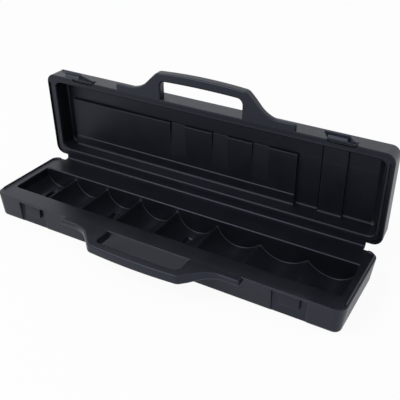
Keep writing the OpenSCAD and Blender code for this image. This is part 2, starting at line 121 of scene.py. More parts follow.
# Lid lining: the hollow, the raised panel with its ledge and grooves, and the steps at the right
LID_LEFT_RIM = 12.5
LID_RIGHT_RIM = 8.0
LID_FRONT_RIM = 8.0
LID_BACK_RIM = 8.5
HOLLOW_X0 = LID_LEFT_RIM - HALF_X
HOLLOW_X1 = HALF_X - LID_RIGHT_RIM
HOLLOW_Y0 = LID_FRONT_RIM - HALF_Y
HOLLOW_Y1 = HALF_Y - LID_BACK_RIM
HOLLOW_DEPTH = 23.5
HOLLOW_R = 12.0
HOLLOW_ROUNDS = (2.6, 1.2, 3.0)  # as for the tray
HOLLOW_MARGIN = 14.0  # as for the tray
BACK_LEAN = 2.0  # what the wall near the hinge leans more
PANEL_LEFT = 17.0  # from the sides of the hollow
PANEL_RIGHT = 119.0
PANEL_H = 5.0
PANEL_X0 = HOLLOW_X0 + PANEL_LEFT
PANEL_X1 = HOLLOW_X1 - PANEL_RIGHT
PANEL_HIGH = 97.0  # from the hinge's axis to its upper edge
PANEL_Y0 = AXIS_Y - PANEL_HIGH
LEDGE_HIGH = 35.5  # from the hinge's axis to its upper edge
LEDGE_Y0 = AXIS_Y - LEDGE_HIGH
LEDGE_H = 1.2
LEDGE_RUN = 1.6
GROOVE_W = 23.0
GROOVE_LEN = 52.0  # it fades out over this length
GROOVE_D = 3.2
GROOVE_AT = (53, 114, 181)  # middles, from the panel's right edge
STEP_AT = 53.0  # from the right side of the hollow
STEP_W = 33.0
STEP_H = 4.0
STEP_X1 = HOLLOW_X1 - STEP_AT
STEP_X0 = STEP_X1 - STEP_W
END_STEP_W = 13.0
END_STEP_X = HOLLOW_X1 - END_STEP_W
END_STEP_H = 7.0
STEP_RUN = 1.0  # width over which the sides slope
STEP_ROUND = 1.8  # radius of the panel's upper edge
SEAM_W = 1.6  # a fine groove beside the step
SEAM_D = 1.5

# Handle
HANDLE_REACH = 40.5  # in front of the case, at its middle
HANDLE_BOW = 3.0  # what its ends reach less
HANDLE_HALF_W = 67.0
BAR_W = 12.5  # from the outer edge to the opening
FINGER_HALF_W = 61.5
FINGER_BOW = 1.5
FINGER_R = 8.0
HANDLE_T = 13.0
ROOT_T = 8.0
ROOT_HALF = 134.5
ROOT_SLOPE = ROOT_HALF / 4  # length over which the handle thins to its root
ROOT_REACH = 9.0
HANDLE_CORNER_R = 11.0
FLANK_R = 38.0
HANDLE_OVERLAP = 4.5  # into the case's wall
HANDLE_SINK = 0.1  # below the plane of the rims
HANDLE_BEVEL = 2.2
HANDLE_UNDERSIDE = -1.0  # all points of the underside lie below this

# Latches, the bays in base and lid that they lie in, and the catches
LATCH_END = 66.5  # from the end of the case to the latch's middle
LATCH_X = HALF_X - LATCH_END
LATCH_W = 32.0
LATCH_LEN = 33.0
LATCH_T = 2.2
PIVOT_H = 4.0  # above the base's rim when closed
BARREL_R = 2.6
LATCH_GAP = 0.4  # between the plate and the case
LATCH_OPEN = 37.0  # at rest, in degrees from closed
BAY_HALF = 22.25
BAY_DEPTH = 6.0
BAY_DROP = 4.0  # below the rim
BAY_ROUND = 1.6  # radius of the upright edges
BAY_TOP_R = 1.2  # radius of the edges at the top
LID_BAY_HALF = 18.0
LID_BAY_DEPTH = 3.2
LID_BAY_H = 10.0
LID_BAY_TOP_R = 1.0
LID_BAY_EASE = 1.3  # extra depth of its eased top edge
CATCH_W = 26.0
CATCH_DROP = 21.0  # from the rim to the edge that the hook holds
CATCH_INSET = 2.2  # behind the front
CATCH_SLOPE_H = 7.0  # height and depth of the catch's sloping top
CATCH_SLOPE = 1.5
CATCH_SINK = 0.6  # into the walls of the bay
PLATE_SINK = 0.5  # what hook and ribs reach into the plate
TIP_H = 3.0  # height of the turned-out tip
TIP_OUT = 2.0
BARREL_START = -98.8  # angle where the plate's inner face meets the barrel
HOOK_TOP = -PIVOT_H - CATCH_DROP - LATCH_GAP - 0.1  # from the pivot
HOOK_T = 2.2
HOOK_ROOM = 1.2  # between its tip and the wall of the bay
HOOK_CHAMFER = 1.2
RIB_W = 1.5
RIB_H = 1.4
RIB_CHAMFER = 1.2
LUG_GAP = 0.4  # beside the latch
LUG_W = LID_BAY_HALF - LATCH_W / 2 - LUG_GAP
LUG_R = BARREL_R - 0.2
LUG_SINK = 0.5

# Meshes
LINING_T = 1.2  # thickness given to the tray and the lid's lining
SHARP_ANGLE = 32  # edges above this angle stay sharp
MERGE = 0.01  # points nearer than this become one


# ---------------------------------------------------------------- helpers


def smooth(t):
    """Eases from 0 to 1 as t goes from 0 to 1."""
    t = min(1.0, max(0.0, t))
    return t * t * (3 - 2 * t)


def arc(cx, cy, r, a0, a1, steps):
    """Points of an arc from angle a0 to a1, in degrees."""
    angles = [radians(a0 + (a1 - a0) * k / steps) for k in range(steps + 1)]
    return [(cx + r * cos(a), cy + r * sin(a)) for a in angles]


def quarter(steps, start=0):
    """Angles of a quarter turn in equal steps, from start degrees."""
    return [radians(start + 90 * k / steps) for k in range(steps + 1)]


def mirrored(points):
    return [(-x, y) for x, y in reversed(points)]


def lid_swing():
    """Takes a point of the closed lid, in millimetres, to where the lid stands at rest."""
    axis = Matrix.Translation((0, AXIS_Y, BASE_H))
    return axis @ Matrix.Rotation(radians(-LID_OPEN), 4, "X") @ axis.inverted()


def latch_place(side, swung=True):
    """Takes a point around a latch's pivot to where the latch stands at rest."""
    place = lid_swing() @ Matrix.Translation((side * LATCH_X, -HALF_Y, BASE_H + PIVOT_H))
    if swung:
        place = place @ Matrix.Rotation(radians(-LATCH_OPEN), 4, "X")
    return place


pieces = []


def new_piece(name, bm, body, material, place=None, outward=True):
    """Makes a piece of a bmesh drawn in millimetres, put in its place, and lets it ride on a body.

    outward turns the faces of a closed shape outwards."""
    if place is not None:
        bmesh.ops.transform(bm, matrix=place, verts=bm.verts)
    bmesh.ops.scale(bm, vec=(MM, MM, MM), verts=bm.verts)
    if outward:
        bmesh.ops.recalc_face_normals(bm, faces=bm.faces)
    mesh = bpy.data.meshes.new(name)
    bm.to_mesh(mesh)
    bm.free()
    for polygon in mesh.polygons:
        polygon.use_smooth = True
    mesh.set_sharp_from_angle(angle=radians(SHARP_ANGLE))
    mesh.materials.append(material)
    piece = bpy.data.objects.new(name, mesh)
    bpy.context.scene.collection.objects.link(piece)
    if body:
        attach(piece, body)
    pieces.append(piece)
    return piece


def add_bevel(piece, width, segments=3, angle=30):
    """Rounds the edges sharper than angle, width given in millimetres."""
    bevel = piece.modifiers.new("edges", "BEVEL")
    bevel.width = width * MM
    bevel.segments = segments
    bevel.limit_method = "ANGLE"
    bevel.angle_limit = radians(angle)


def loft(bm, rings, cap_first=False, cap_last=False):
    """Joins closed rings of points, all of one length, with quads."""
    loops = [[bm.verts.new(p) for p in ring] for ring in rings]
    count = len(loops[0])
    for low, high in zip(loops, loops[1:]):
        for k in range(count):
            n = (k + 1) % count
            bm.faces.new((low[k], low[n], high[n], high[k]))
    if cap_first:
        bm.faces.new(loops[0][::-1])
    if cap_last:
        bm.faces.new(loops[-1])
    return loops


def fill_between(bm, outer, inner):
    """Fills the flat ring between two closed loops of vertices."""
    edges = []
    for loop in (outer, inner):
        for k, vert in enumerate(loop):
            after = loop[(k + 1) % len(loop)]
            edges.append(bm.edges.get((vert, after)) or bm.edges.new((vert, after)))
    bmesh.ops.triangle_fill(bm, edges=edges, use_beauty=True, use_dissolve=False)


def prism(outline, z0, z1):
    """Straight block over a simple outline."""
    bm = bmesh.new()
    loft(bm, [[(x, y, z) for x, y in outline] for z in (z0, z1)], True, True)
    return bm


# ---------------------------------------------------------------- outlines of the case


def bay_edge(half_w, depth):
    """A bay's edge seen from above, each point's offset from its middle and share of its depth."""
    q = BAY_ROUND
    left = [(-half_w - q + q * sin(a), q - q * cos(a)) for a in quarter(4)]
    left += [(-half_w + q - q * cos(a), depth - q + q * sin(a)) for a in quarter(4)]
    edge = [(x, y / depth) for x, y in left]
    return edge + [(-x, share) for x, share in reversed(edge)]


BASE_BAY = bay_edge(BAY_HALF, BAY_DEPTH)
LID_BAY = bay_edge(LID_BAY_HALF, LID_BAY_DEPTH)


def case_outline(inset, bay, depth):
    """The case's outline seen from above, inset from the rim, its two bays depth behind the rim."""
    points = []
    front = -HALF_Y + inset
    for side in (-1, 1):
        for x, share in bay:
            points.append((side * LATCH_X + x, front + share * max(0.0, depth - inset)))
    r = CORNER_R - inset
    mid_x = HALF_X - CORNER_R
    mid_y = HALF_Y - CORNER_R
    right = arc(mid_x, -mid_y, r, -90, -2 * LIP_START_ANGLE, CORNER_STEPS)
    right += arc(mid_x, -mid_y, r, -LIP_START_ANGLE, 0, 1)
    right += arc(mid_x, mid_y, r, 0, 90, CORNER_STEPS)
    right += [(mid_x - 1, mid_y + r)]
    points += right
    points += mirrored(right)
    return points


def lip_weights(bay):
    """1 for each point of a case_outline where the lid has room for a lip, and 0 elsewhere."""
    right = [0] * (CORNER_STEPS + 1) + [1] * 2 + [1] * (CORNER_STEPS + 1) + [0]
    return [0] * (2 * len(bay)) + right + right[::-1]


def foot_rings(draft, r):
    """Inset and height of the rings round the foot of a leaning wall."""
    return [(draft + r - r * cos(a), r + r * sin(a)) for a in quarter(6, -90)]


def rim_rows(level):
    """Inset and height of the rings over a rim's rounded outer edge, level giving the rim's height."""
    return [(RIM_ROUND * (1 - cos(a)), level - RIM_ROUND * (1 - sin(a))) for a in quarter(5)]


def base_inset(h):
    """How far the base's wall lies inside its rim at height h."""
    return BASE_DRAFT * (BASE_H - h) / (BASE_H - EDGE_R)


def lid_inset(h):
    """How far the lid's wall lies inside its rim at level h, counted from the lid's outer face."""
    return LID_DRAFT * (LID_RIM_H - h) / (LID_RIM_H - LID_EDGE_R)


def base_wall():
    """Outer wall and floor of the base, with the bays behind the latches."""
    bm = bmesh.new()
    top = BASE_H - SKIN
    bay_top = BASE_H - BAY_DROP
    q = BAY_TOP_R
    rows = [(inset, h, BAY_DEPTH) for inset, h in foot_rings(BASE_DRAFT, EDGE_R)]
    for h, depth in (
        (bay_top - q, BAY_DEPTH),
        (bay_top - 0.3 * q, BAY_DEPTH - 0.3 * q),
        (bay_top, BAY_DEPTH - q),
        (bay_top, q),
        (bay_top + 0.3 * q, 0.6 * q),
        (bay_top + q, 0.0),
        (top, 0.0),
    ):
        rows.append((base_inset(h), h, depth))
    inner = [(base_inset(h) + SKIN, h, 0.0) for h in (top, bay_top + SKIN)]
    inner += [(base_inset(h) + SKIN, h, BAY_DEPTH + SKIN) for h in (bay_top + 1, EDGE_R + SKIN)]
    inner += [(BASE_DRAFT + SKIN + EDGE_R, SKIN, BAY_DEPTH + SKIN)]
    rings = [[(x, y, h) for x, y in case_outline(i, BASE_BAY, d)] for i, h, d in rows + inner]
    loft(bm, rings, True, True)
    return bm


def lid_z(h):
    """Height in the closed case of a level counted from the lid's outer face."""
    return BASE_H + LID_H - h


def lid_parting(weight):
    """Level where the lid's wall meets its lining, further in where there is room for a lip."""
    return LID_RIM_H - SKIN - (LIP_H + LIP_ROOM) * weight


def lid_wall():
    """Outer wall and face of the closed lid, with the bays around the pivots."""
    bm = bmesh.new()
    weights = lip_weights(LID_BAY)
    bay_top = LID_H - LID_BAY_H
    q = LID_BAY_TOP_R
    rows = [(inset, h, 0.0) for inset, h in foot_rings(LID_DRAFT, LID_EDGE_R)]
    for h, depth in (
        (bay_top - q, 0.0),
        (bay_top - 0.3 * q, 0.6 * q + LID_BAY_EASE),
        (bay_top, q + LID_BAY_EASE),
        (bay_top, LID_BAY_DEPTH - 0.6),
        (bay_top + 0.6, LID_BAY_DEPTH),
    ):
        rows.append((lid_inset(h), h, depth))
    rings = [[(x, y, lid_z(h)) for x, y in case_outline(i, LID_BAY, d)] for i, h, d in rows]
    edge = lid_inset(LID_RIM_H - SKIN)
    for extra in (0, SKIN):
        line = case_outline(edge + extra, LID_BAY, LID_BAY_DEPTH + extra)
        rings.append([(x, y, lid_z(lid_parting(w))) for (x, y), w in zip(line, weights)])
    inner = [(lid_inset(h) + SKIN, h) for h in (bay_top - 2, LID_EDGE_R + SKIN)]
    inner += [(LID_DRAFT + SKIN + LID_EDGE_R, SKIN)]
    rings += [[(x, y, lid_z(h)) for x, y in case_outline(i, LID_BAY, 0.0)] for i, h in inner]
    loft(bm, rings, True, True)
    return bm


# ---------------------------------------------------------------- pockets


def grid_lines(low, high, step, edges, run):
    """Rising positions from low to high, no further apart than step, with five within run of each edge."""
    marks = {low, high}
    for e in edges:
        marks.update(e + run * k for k in (-1, -0.5, 0, 0.5, 1) if low < e + run * k < high)
    marks = sorted(marks)
    lines = [marks[0]]
    for a, b in zip(marks, marks[1:]):
        if b - a < 1e-6:
            continue
        parts = max(1, ceil((b - a) / step))
        lines += [a + (b - a) * k / parts for k in range(1, parts + 1)]
    return lines


def pocket(bm, spans, corner_r, rounds, depth_at, lines, level, back_lean=0.0):
    """A pocket with a rounded rim, leaning walls and a floor.

    spans are its sides x0, x1, y0 and y1. rounds are the rim's radius, the walls' lean and the foot's
    radius. depth_at gives the floor's depth at a point. lines are the positions of the floor's grid.
    level turns a depth into a height. back_lean is what the wall at y1 leans more than the others.
    Returns the loop of vertices along its rim."""
    x0, x1, y0, y1 = spans
    top_r, lean, foot_r = rounds
    xs, ys = lines
    inner = xs[0] - x0
    grid = [[bm.verts.new((x, y, level(depth_at(x, y)))) for y in ys] for x in xs]
    for i in range(len(xs) - 1):
        for j in range(len(ys) - 1):
            bm.faces.new((grid[i][j], grid[i + 1][j], grid[i + 1][j + 1], grid[i][j + 1]))

    def side(vert, x, y, nx, ny):
        start = Vector((x + nx * inner, y + ny * inner))
        return vert, lambda d: start - d * Vector((nx, ny)), max(0.0, ny)

    def corner(vert, sx, sy, angle):
        def at(d):
            r = corner_r * (1 - d / inner)
            cx = (x1 - d - r) if sx > 0 else (x0 + d + r)
            cy = (y1 - d - r) if sy > 0 else (y0 + d + r)
            return Vector((cx + r * cos(angle), cy + r * sin(angle)))

        return vert, at, max(0.0, sin(angle))

    fan = 8
    last_x = len(xs) - 1
    last_y = len(ys) - 1
    spokes = [side(grid[i][0], x, ys[0], 0, -1) for i, x in enumerate(xs)]
    spokes += [corner(grid[-1][0], 1, -1, a) for a in quarter(fan, -90)[1:-1]]
    spokes += [side(grid[-1][j], xs[-1], y, 1, 0) for j, y in enumerate(ys)]
    spokes += [corner(grid[-1][-1], 1, 1, a) for a in quarter(fan)[1:-1]]
    spokes += [side(grid[last_x - i][-1], xs[last_x - i], ys[-1], 0, 1) for i in range(len(xs))]
    spokes += [corner(grid[0][-1], -1, 1, a) for a in quarter(fan, 90)[1:-1]]
    spokes += [side(grid[0][last_y - j], xs[0], ys[last_y - j], -1, 0) for j in range(len(ys))]
    spokes += [corner(grid[0][0], -1, -1, a) for a in quarter(fan, 180)[1:-1]]

    turn = quarter(5)
    columns = []
    for vert, at, share in spokes:
        floor = depth_at(vert.co.x, vert.co.y)
        k = min(1.0, floor / (top_r + foot_r))
        tr = top_r * k
        fr = foot_r * k
        rows = [(tr * sin(a), tr * (1 - cos(a))) for a in turn]
        rows += [(tr + lean + fr * (1 - cos(a)), floor - fr * (1 - sin(a))) for a in turn]
        column = []
        for d, depth in rows:
            p = at(d + back_lean * share * depth / floor)
            depth = min(depth, max(0.0, depth_at(p.x, p.y))) if d > tr else depth
            column.append(bm.verts.new((p.x, p.y, level(depth))))
        columns.append(column + [vert])
    for c, n in zip(columns, columns[1:] + columns[:1]):
        for j in range(len(c) - 1):
            corners = [c[j], c[j + 1], n[j + 1], n[j]]
            if c[j + 1] is n[j + 1]:
                corners.pop(2)
            bm.faces.new(corners)
    return [c[0] for c in columns]


def trough_x(i):
    """Position of the divider at the left of compartment i."""
    first_w = (TRAY_X1 - TRAY_X0 - TROUGH_STEP * TROUGHS * (TROUGHS - 1) / 2) / TROUGHS
    return TRAY_X0 + i * first_w + TROUGH_STEP * i * (i - 1) / 2


def trough_floor(i):
    return BASE_H - FIRST_DEPTH - i * (LAST_DEPTH - FIRST_DEPTH) / (TROUGHS - 1)


def divider_top(i):
    return BASE_H - DIVIDER_DROPS[i - 1]


def smooth_min(a, b, k):
    """The lesser of a and b, rounded where they come within k of each other."""
    h = max(k - abs(a - b), 0.0) / k
    return min(a, b) - h * h * k / 4


def trough_curve(i, x):
    """Height of the curved floor of compartment i at x, or far above the rim outside of it."""
    left = trough_x(i) + (DIVIDER_T / 2 if i else 0)
    right = trough_x(i + 1) - (DIVIDER_T / 2 if i < TROUGHS - 1 else 0)
    mid = (left + right) / 2
    run = (right - left) / 2
    floor = trough_floor(i)
    divider = i if x < mid else i + 1
    r = run
    if 0 < divider < TROUGHS:
        rise = divider_top(divider) - DIVIDER_T / 2 - floor
        if rise < run:
            r = (run * run + rise * rise) / (2 * rise)
    off = abs(x - mid)
    return floor + r - sqrt(r * r - off * off) if off < r else 2 * BASE_H


def pit_depth(x, y):
    """How far a kiss-off pit lies below its compartment's floor."""
    for i in PIT_TROUGHS:
        mid = (trough_x(i) + trough_x(i + 1)) / 2
        across = smooth((PIT_W / 2 - abs(x - mid)) / PIT_RUN + 0.5)
        along = smooth((PIT_LEN / 2 - abs(y - PIT_BACK)) / PIT_RUN + 0.5)
        if across * along > 0:
            return across * along * (trough_floor(i) - PIT_FLOOR)
    return 0.0


def tray_depth(x, y):
    """Depth of the tray's floor below the rim."""
    heights = [trough_curve(i, x) for i in range(TROUGHS)]
    height = min(heights)
    nearest = min(range(1, TROUGHS), key=lambda i: abs(x - trough_x(i)))
    if abs(x - trough_x(nearest)) < 2 * DIVIDER_T:
        height = smooth_min(height, divider_top(nearest), DIVIDER_ROUND)
    return max(0.0, BASE_H - height) + pit_depth(x, y)


def base_tray():
    """Rim, pocket and compartments of the base."""
    bm = bmesh.new()
    parting = BASE_H - SKIN
    rows = [(base_inset(parting), parting)] + rim_rows(BASE_H)
    rings = [[(x, y, h) for x, y in case_outline(i, BASE_BAY, 0.0)] for i, h in rows]
    outer = loft(bm, rings)[-1]
    pit_x = [(trough_x(i) + trough_x(i + 1)) / 2 + s * PIT_W / 2 for i in PIT_TROUGHS for s in (-1, 1)]
    pit_y = [PIT_BACK + s * PIT_LEN / 2 for s in (-1, 1)]
    xs = grid_lines(TRAY_X0 + TRAY_MARGIN, TRAY_X1 - TRAY_MARGIN, step=1.0, edges=pit_x, run=0.6)
    ys = grid_lines(TRAY_Y0 + TRAY_MARGIN, TRAY_Y1 - TRAY_MARGIN, step=8.0, edges=pit_y, run=0.6)
    spans = (TRAY_X0, TRAY_X1, TRAY_Y0, TRAY_Y1)
    rim = pocket(bm, spans, TRAY_R, TRAY_ROUNDS, tray_depth, (xs, ys), lambda depth: BASE_H - depth)
    fill_between(bm, outer, rim)
    bmesh.ops.remove_doubles(bm, verts=bm.verts, dist=MERGE)
    return bm


def rounded_step(t):
    """Share of a step's height at t past its foot: a steep wall below a rounded edge."""
    wall = 0.4
    share = 0.6
    if t < wall:
        return share * max(0.0, t / wall)
    off = max(0.0, (wall + STEP_ROUND - t) / STEP_ROUND)
    return share + (1 - share) * sqrt(1 - off * off)


def lid_depth(x, y):
    """Depth of the lid's lining behind its rim, y counted in the closed case."""

    def within(value, low, high):
        return smooth((value - low) / STEP_RUN + 0.5) * smooth((high - value) / STEP_RUN + 0.5)

    panel = within(x, PANEL_X0, PANEL_X1) * rounded_step(y - PANEL_Y0)
    height = PANEL_H * panel
    for at in GROOVE_AT:
        mid = PANEL_X1 - at
        along = min(1.0, max(0.0, (PANEL_Y0 + GROOVE_LEN - y) / GROOVE_LEN))
        height -= GROOVE_D * along * panel * within(x, mid - GROOVE_W / 2, mid + GROOVE_W / 2)
    height += LEDGE_H * within(x, PANEL_X0, PANEL_X1) * smooth((y - LEDGE_Y0) / LEDGE_RUN + 0.5)
    height += STEP_H * within(x, STEP_X0, STEP_X1) - SEAM_D * within(x, STEP_X0 - SEAM_W, STEP_X0)
    height += END_STEP_H * smooth((x - END_STEP_X) / STEP_RUN + 0.5)
    return HOLLOW_DEPTH - height


def lid_lining():
    """Rim and hollow of the closed lid, with the raised panel and steps on its floor."""
    bm = bmesh.new()
    weights = lip_weights(LID_BAY)
    room = LIP_H + LIP_ROOM
    line = case_outline(lid_inset(LID_RIM_H - SKIN), LID_BAY, LID_BAY_DEPTH)
    rings = [[(x, y, lid_z(lid_parting(w))) for (x, y), w in zip(line, weights)]]
    for inset, h in rim_rows(LID_RIM_H):
        rings.append([(x, y, lid_z(h)) for x, y in case_outline(inset, LID_BAY, LID_BAY_DEPTH)])
    for inset, share in LIP_ROOM_RINGS:
        line = case_outline(inset, LID_BAY, LID_BAY_DEPTH)
        rings.append([(x, y, lid_z(LID_RIM_H - share * room * w)) for (x, y), w in zip(line, weights)])
    outer = loft(bm, rings)[-1]
    edges_x = [PANEL_X0, PANEL_X1, STEP_X0 - SEAM_W, STEP_X0, STEP_X1, END_STEP_X]
    edges_x += [PANEL_X1 - at + s * GROOVE_W / 2 for at in GROOVE_AT for s in (-1, 1)]
    edges_y = [PANEL_Y0 + 0.3, PANEL_Y0 + 1.5, PANEL_Y0 + GROOVE_LEN, LEDGE_Y0]
    xs = grid_lines(HOLLOW_X0 + HOLLOW_MARGIN, HOLLOW_X1 - HOLLOW_MARGIN, step=12.0, edges=edges_x, run=0.5)
    ys = grid_lines(HOLLOW_Y0 + HOLLOW_MARGIN, HOLLOW_Y1 - HOLLOW_MARGIN, step=12.0, edges=edges_y, run=0.7)
    spans = (HOLLOW_X0, HOLLOW_X1, HOLLOW_Y0, HOLLOW_Y1)
    rim = pocket(
        bm, spans, HOLLOW_R, HOLLOW_ROUNDS, lid_depth, (xs, ys), lambda depth: BASE_H + depth, BACK_LEAN
    )
    for vert in rim:
        vert.co.z = lid_z(LID_RIM_H)
    fill_between(bm, outer, rim)
    bmesh.ops.remove_doubles(bm, verts=bm.verts, dist=MERGE)
    return bm


def add_skin(piece):
    """Gives an open surface its thickness, behind its faces."""
    skin = piece.modifiers.new("skin", "SOLIDIFY")
    skin.thickness = LINING_T * MM
    skin.offset = -1
    skin.use_even_offset = True
    skin.thickness_clamp = 1.0


def face_up(bm, up):
    """Turns the faces of an open surface so that its widest flat face looks along up."""
    bmesh.ops.recalc_face_normals(bm, faces=bm.faces)
    bm.faces.ensure_lookup_table()
    widest = max(bm.faces, key=lambda f: f.calc_area())
    if widest.normal.dot(Vector(up)) < 0:
        bmesh.ops.reverse_faces(bm, faces=bm.faces)


# ---------------------------------------------------------------- lips, handle, hinge, latches


def end_lip(side):
    """Raised lip along one end of the base and round its back corner, coved on its inner side."""
    section = [(LIP_W, -LIP_SINK)] + arc(LIP_W, LIP_H, LIP_H, 270, 200, 6)
    section += [(LIP_EDGE + x, LIP_H - drop) for x, drop in LIP_EDGE_ROUND] + [(LIP_EDGE, -LIP_SINK)]
    mid_x = HALF_X - CORNER_R
    mid_y = HALF_Y - CORNER_R
    stations = [((mid_x, y), 0.0) for y in (-mid_y, -mid_y + 2, 0, mid_y)]
    stations += [((mid_x, mid_y), a) for a in quarter(12)[1:]]
    bm = bmesh.new()
    rings = []
    for k, ((cx, cy), angle) in enumerate(stations):
        low = LIP_LOW_START if k == 0 else 1.0
        ring = []
        for inset, z in section:
            r = CORNER_R - inset
            height = BASE_H + (z * low if z > 0 else z)
            ring.append((side * (cx + r * cos(angle)), cy + r * sin(angle), height))
        rings.append(ring)
    loft(bm, rings, True, True)
    return bm


def bow_radius(half_w, bow):
    """Radius of an arc that rises by bow over half its width."""
    return (half_w * half_w + bow * bow) / (2 * bow)


def handle_edge(wall):
    """Right half of the handle's outer edge seen from above, from its middle to the case's wall."""
    front = -HALF_Y - HANDLE_REACH
    root = -HALF_Y - ROOT_REACH
    half = sqrt(0.5)
    flank_y = front + HANDLE_BOW
    flank_end = HANDLE_HALF_W + root - flank_y
    r = bow_radius(HANDLE_HALF_W, HANDLE_BOW)
    inner_r = r - HANDLE_CORNER_R
    reach = (HANDLE_HALF_W + front + r - flank_y) * half - HANDLE_CORNER_R
    turn = 45 - degrees(acos(reach / inner_r))
    corner_x = inner_r * sin(radians(turn))
    corner_y = front + r - inner_r * cos(radians(turn))
    edge = arc(0, front + r, r, -90, turn - 90, 12)[1:]
    edge += arc(corner_x, corner_y, HANDLE_CORNER_R, turn - 90, -45, 8)[1:]
    edge += arc(flank_end + FLANK_R * tan(radians(22.5)), root - FLANK_R, FLANK_R, 135, 90, 12)
    return edge + [(ROOT_HALF, root), (ROOT_HALF, wall)]


def finger_edge(wall):
    """Right half of the edge of the opening for the fingers."""
    front = -HALF_Y - HANDLE_REACH + BAR_W
    r = bow_radius(FINGER_HALF_W, FINGER_BOW)
    turn = degrees(asin((FINGER_HALF_W - FINGER_R) / (r - FINGER_R)))
    corner_y = front + r - (r - FINGER_R) * cos(radians(turn))
    edge = arc(0, front + r, r, -90, turn - 90, 12)[1:]
    edge += arc(FINGER_HALF_W - FINGER_R, corner_y, FINGER_R, turn - 90, 0, 6)[1:]
    return edge + [(FINGER_HALF_W, wall)]


def handle_half():
    """Handle half below the plane of the closed rims at z = 0, its roots thinner than its bar."""
    wall = -HALF_Y + HANDLE_OVERLAP
    right = handle_edge(wall)
    hole = finger_edge(wall)
    path = mirrored(right) + right + hole[::-1] + [(-x, y) for x, y in hole]
    bm = prism(path, -HANDLE_T, -HANDLE_SINK)
    slope = (HANDLE_HALF_W + ROOT_REACH, HANDLE_HALF_W + ROOT_REACH + ROOT_SLOPE)
    for x in (slope[0], slope[1], -slope[0], -slope[1]):
        geometry = bm.verts[:] + bm.edges[:] + bm.faces[:]
        bmesh.ops.bisect_plane(bm, geom=geometry, plane_co=(x, 0, 0), plane_no=(1, 0, 0), dist=0.001)
    for vert in bm.verts:
        if vert.co.z < HANDLE_UNDERSIDE:
            t = (abs(vert.co.x) - slope[0]) / (slope[1] - slope[0])
            vert.co.z = -HANDLE_T + (HANDLE_T - ROOT_T) * min(1.0, max(0.0, t))
    return bm


def extrude_x(section, half_w):
    """Straight block over a section seen along X, given as (y, z)."""
    bm = bmesh.new()
    loft(bm, [[(x, y, z) for y, z in section] for x in (-half_w, half_w)], True, True)
    return bm


def catch_block():
    """Catch in a base bay, with a sloping top that the latch's hook rides over."""
    top = BASE_H - BAY_DROP + CATCH_SINK
    low = BASE_H - CATCH_DROP
    back = -HALF_Y + BAY_DEPTH + CATCH_SINK
    face = -HALF_Y + CATCH_INSET
    section = [(back, low), (face, low), (face, top - CATCH_SLOPE_H), (face + CATCH_SLOPE, top), (back, top)]
    return extrude_x(section, CATCH_W / 2)


def latch_plate():
    """Barrel, plate and turned-out tip of a latch around its pivot, hanging closed."""
    plate_in = -LATCH_GAP
    plate_out = plate_in - LATCH_T
    tip_z = -(LATCH_LEN - TIP_H)
    section = arc(0, 0, BARREL_R, BARREL_START, 180, 20)
    section += [(plate_out, -1), (plate_out, tip_z + 0.8), (plate_out - 0.5, tip_z - 0.6)]
    section += [(plate_out - TIP_OUT, -LATCH_LEN), (plate_in - TIP_OUT, -LATCH_LEN)]
    section += [(plate_in - 0.5, tip_z - 0.4), (plate_in, tip_z + 1)]
    return extrude_x(section, LATCH_W / 2)


def latch_hook():
    """Hook on the inner side of a latch's plate, under the catch when closed."""
    root = -LATCH_GAP - PLATE_SINK
    tip = BAY_DEPTH - HOOK_ROOM
    low = HOOK_TOP - HOOK_T
    section = [(root, HOOK_TOP), (root, low), (tip - HOOK_CHAMFER, low)]
    section += [(tip, low + HOOK_CHAMFER), (tip, HOOK_TOP)]
    return extrude_x(section, CATCH_W / 2 - 1)


def latch_rib(x):
    """Stiffening rib on the inner side of a latch's plate."""
    root = -LATCH_GAP - PLATE_SINK
    low = HOOK_TOP + HOOK_T
    high = -(PIVOT_H + BAY_DROP) - 1
    section = [(root, low), (RIB_H, low + RIB_CHAMFER), (RIB_H, high - RIB_CHAMFER), (root, high)]
    bm = extrude_x(section, RIB_W / 2)
    bmesh.ops.translate(bm, vec=(x, 0, 0), verts=bm.verts)
    return bm


def pin_lug(x):
    """Lug on the lid that holds one end of a latch's pin."""
    root = LID_BAY_DEPTH + LUG_SINK
    section = [(root, LUG_R)] + arc(0, 0, LUG_R, 90, 270, 12) + [(root, -LUG_R)]
    bm = extrude_x(section, LUG_W / 2)
    bmesh.ops.translate(bm, vec=(x, 0, 0), verts=bm.verts)
    return bm


def fold_strip():
    """The moulded fold between the back walls of base and lid, drawn with the lid at rest."""
    swing = lid_swing()
    t = LEAF_T / 2
    lid_z0 = BASE_H + RIM_GAP + t
    base_side = [Vector((HALF_Y + past, BASE_H - t)) for past in (FOLD_BASE_ROOT, FOLD_FLAT, FOLD_START)]
    lid_side = [
        (swing @ Vector((0, HALF_Y + past, lid_z0))).yz for past in (FOLD_START, FOLD_FLAT, FOLD_LID_ROOT)
    ]
    start = base_side[-1]
    end = lid_side[0]
    bend = Vector((AXIS_Y + FOLD_BEND[0], BASE_H + FOLD_BEND[1]))
    shares = [k / FOLD_PARTS for k in range(1, FOLD_PARTS)]
    curve = [(1 - u) ** 2 * start + 2 * u * (1 - u) * bend + u * u * end for u in shares]
    centre = base_side + curve + lid_side
    halves = [t] * 3 + [t - (t - FOLD_T / 2) * sin(pi * u) for u in shares] + [t] * 3
    left = []
    right = []
    for k, (p, h) in enumerate(zip(centre, halves)):
        before = centre[max(k - 1, 0)]
        after = centre[min(k + 1, len(centre) - 1)]
        along = (after - before).normalized()
        normal = Vector((-along.y, along.x))
        left.append(p + h * normal)
        right.append(p - h * normal)
    section = [(p.x, p.y) for p in left + right[::-1]]
    bm = bmesh.new()
    xs = [-HINGE_HALF, -HINGE_HALF + FOLD_END, HINGE_HALF - FOLD_END, HINGE_HALF]
    loft(bm, [[(x, y, z) for y, z in section] for x in xs], True, True)
    return bm, start, end


# ---------------------------------------------------------------- materials


